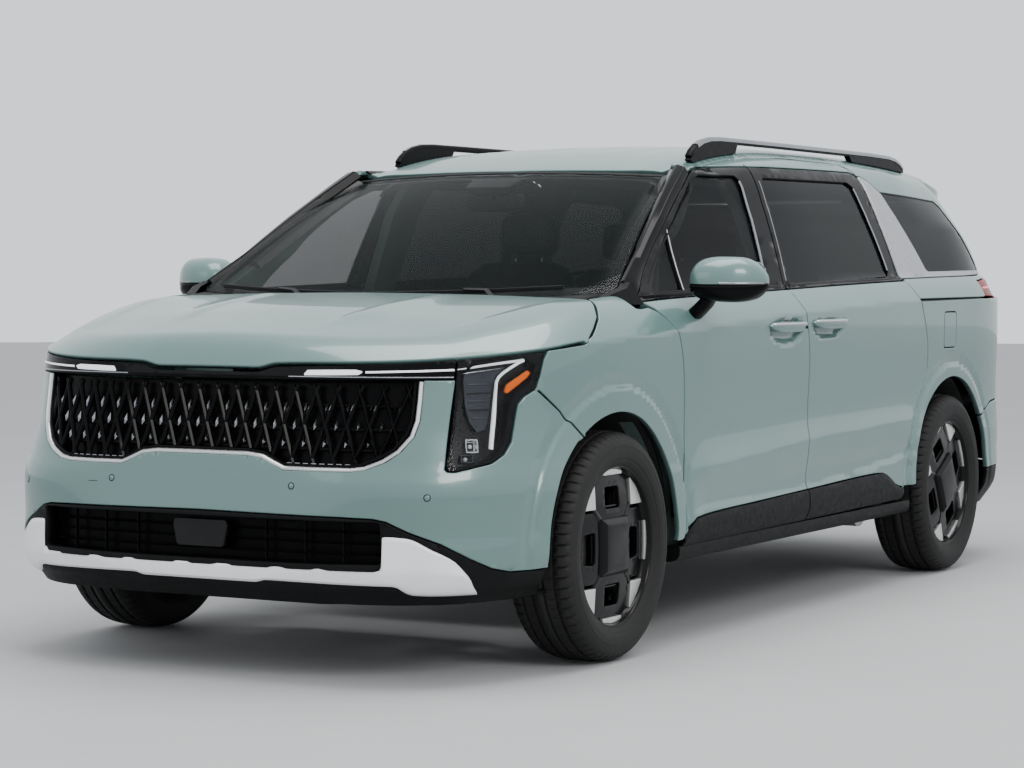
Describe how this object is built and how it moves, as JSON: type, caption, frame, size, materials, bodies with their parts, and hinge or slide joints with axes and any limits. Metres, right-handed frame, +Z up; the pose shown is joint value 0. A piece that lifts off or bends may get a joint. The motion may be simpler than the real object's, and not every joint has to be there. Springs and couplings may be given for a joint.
{
  "type": "minivan",
  "caption": "Family minivan with sliding side doors, three seat rows, hinged front doors, hood and tailgate, steered front wheels and roof rails.",
  "frame": {"origin": "on the ground under the middle of the car's bounding box", "axes": "+X forward to the nose, +Y to the car's left, +Z up"},
  "size_m": [5.1553, 2.4, 1.752],
  "materials": {
    "paint": "pale mint green paint with clear coat",
    "body_metal": "primed and painted sheet steel, satin",
    "glass_dark": "privacy tint",
    "glass_clear": "lightly tinted laminated glass",
    "lamp": "clear lamp cover",
    "lamp_red": "red lamp cover",
    "gloss_black": "piano black",
    "satin_silver": "satin silver trim",
    "black_plastic": "grained",
    "cabin_plastic": "soft grained",
    "seat": "grained black leather",
    "alloy": "machined face with gloss black pockets",
    "tyre": "black rubber",
    "iron": "bare, oiled",
    "steel": "aluminised steel"
  },
  "bodies": {
    "body": {"body_side_frames": "body_metal", "bulkhead": "body_metal", "centre_console": "cabin_plastic", "cowl": "black_plastic", "dashboard": "cabin_plastic", "engine_block": "iron", "floor_pan": "body_metal", "front_bumper": "paint", "front_crossmember": "iron", "front_fenders": "paint", "front_lamps": "lamp", "front_seats": "seat", "fuel_tank": "black_plastic", "grilles": "gloss_black", "muffler": "steel", "number_plate_holder": "black_plastic", "quarter_panels": "paint", "rear_axle": "iron", "rear_bumper": "paint", "rear_crossmember": "body_metal", "roof_panel": "paint", "roof_rails": "satin_silver", "second_row_seats": "seat", "side_glass": "glass_dark", "sliding_doors": "paint", "steering_wheel": "cabin_plastic", "tail_lamps": "lamp_red", "third_row_bench": "seat", "upper_frames": "gloss_black", "wheel_housings": "black_plastic", "windscreen": "glass_clear"},
    "hood": {"hood": "paint"},
    "tailgate": {"tailgate": "paint", "tailgate_glass": "glass_dark", "tailgate_light_bar": "lamp_red"},
    "fuel_flap": {"fuel_flap": "paint"},
    "front_door_left": {"front_door_left": "paint", "front_door_glass_left": "glass_dark", "door_mirror_left": "paint"},
    "front_door_right": {"front_door_right": "paint", "front_door_glass_right": "glass_dark", "door_mirror_right": "paint"},
    "front_knuckle_left": {"front_knuckle_left": "iron"},
    "front_knuckle_right": {"front_knuckle_right": "iron"},
    "wheel_front_left": {"wheel_front_left": "alloy", "tyre_front_left": "tyre"},
    "wheel_front_right": {"wheel_front_right": "alloy", "tyre_front_right": "tyre"},
    "wheel_rear_left": {"wheel_rear_left": "alloy", "tyre_rear_left": "tyre"},
    "wheel_rear_right": {"wheel_rear_right": "alloy", "tyre_rear_right": "tyre"}
  },
  "joints": [
    {"name": "hood_hinge", "type": "hinge", "parent": "body", "child": "hood", "pos_m": [1.6, 0, 1.182], "axis": [0, -1, 0], "range_deg": [0, 52]},
    {"name": "tailgate_hinge", "type": "hinge", "parent": "body", "child": "tailgate", "pos_m": [-2.1, 0, 1.712], "axis": [0, 1, 0], "range_deg": [0, 80]},
    {"name": "door_hinge_left", "type": "hinge", "parent": "body", "child": "front_door_left", "pos_m": [1.33, 0.992, 0.75], "axis": [0, 0, -1], "range_deg": [0, 65]},
    {"name": "door_hinge_right", "type": "hinge", "parent": "body", "child": "front_door_right", "pos_m": [1.33, -0.992, 0.75], "axis": [0, 0, 1], "range_deg": [0, 65]},
    {"name": "fuel_flap_hinge", "type": "hinge", "parent": "body", "child": "fuel_flap", "pos_m": [-1.3285, 0.9915, 1.01], "axis": [0, 0, -1], "range_deg": [0, 80]},
    {"name": "steer_left", "type": "hinge", "parent": "body", "child": "front_knuckle_left", "pos_m": [1.6425, 0.745, 0.37], "axis": [0, 0, 1], "range_deg": [-34, 34]},
    {"name": "steer_right", "type": "hinge", "parent": "body", "child": "front_knuckle_right", "pos_m": [1.6425, -0.745, 0.37], "axis": [0, 0, 1], "range_deg": [-34, 34]},
    {"name": "spin_front_left", "type": "hinge", "parent": "front_knuckle_left", "child": "wheel_front_left", "pos_m": [1.6425, 0.87, 0.37], "axis": [0, 1, 0], "continuous": true},
    {"name": "spin_front_right", "type": "hinge", "parent": "front_knuckle_right", "child": "wheel_front_right", "pos_m": [1.6425, -0.87, 0.37], "axis": [0, 1, 0], "continuous": true},
    {"name": "spin_rear_left", "type": "hinge", "parent": "body", "child": "wheel_rear_left", "pos_m": [-1.4475, 0.87, 0.37], "axis": [0, 1, 0], "continuous": true},
    {"name": "spin_rear_right", "type": "hinge", "parent": "body", "child": "wheel_rear_right", "pos_m": [-1.4475, -0.87, 0.37], "axis": [0, 1, 0], "continuous": true}
  ],
  "couplings": [
    {"joint": "steer_right", "follows": "steer_left", "ratio": 1}
  ]
}
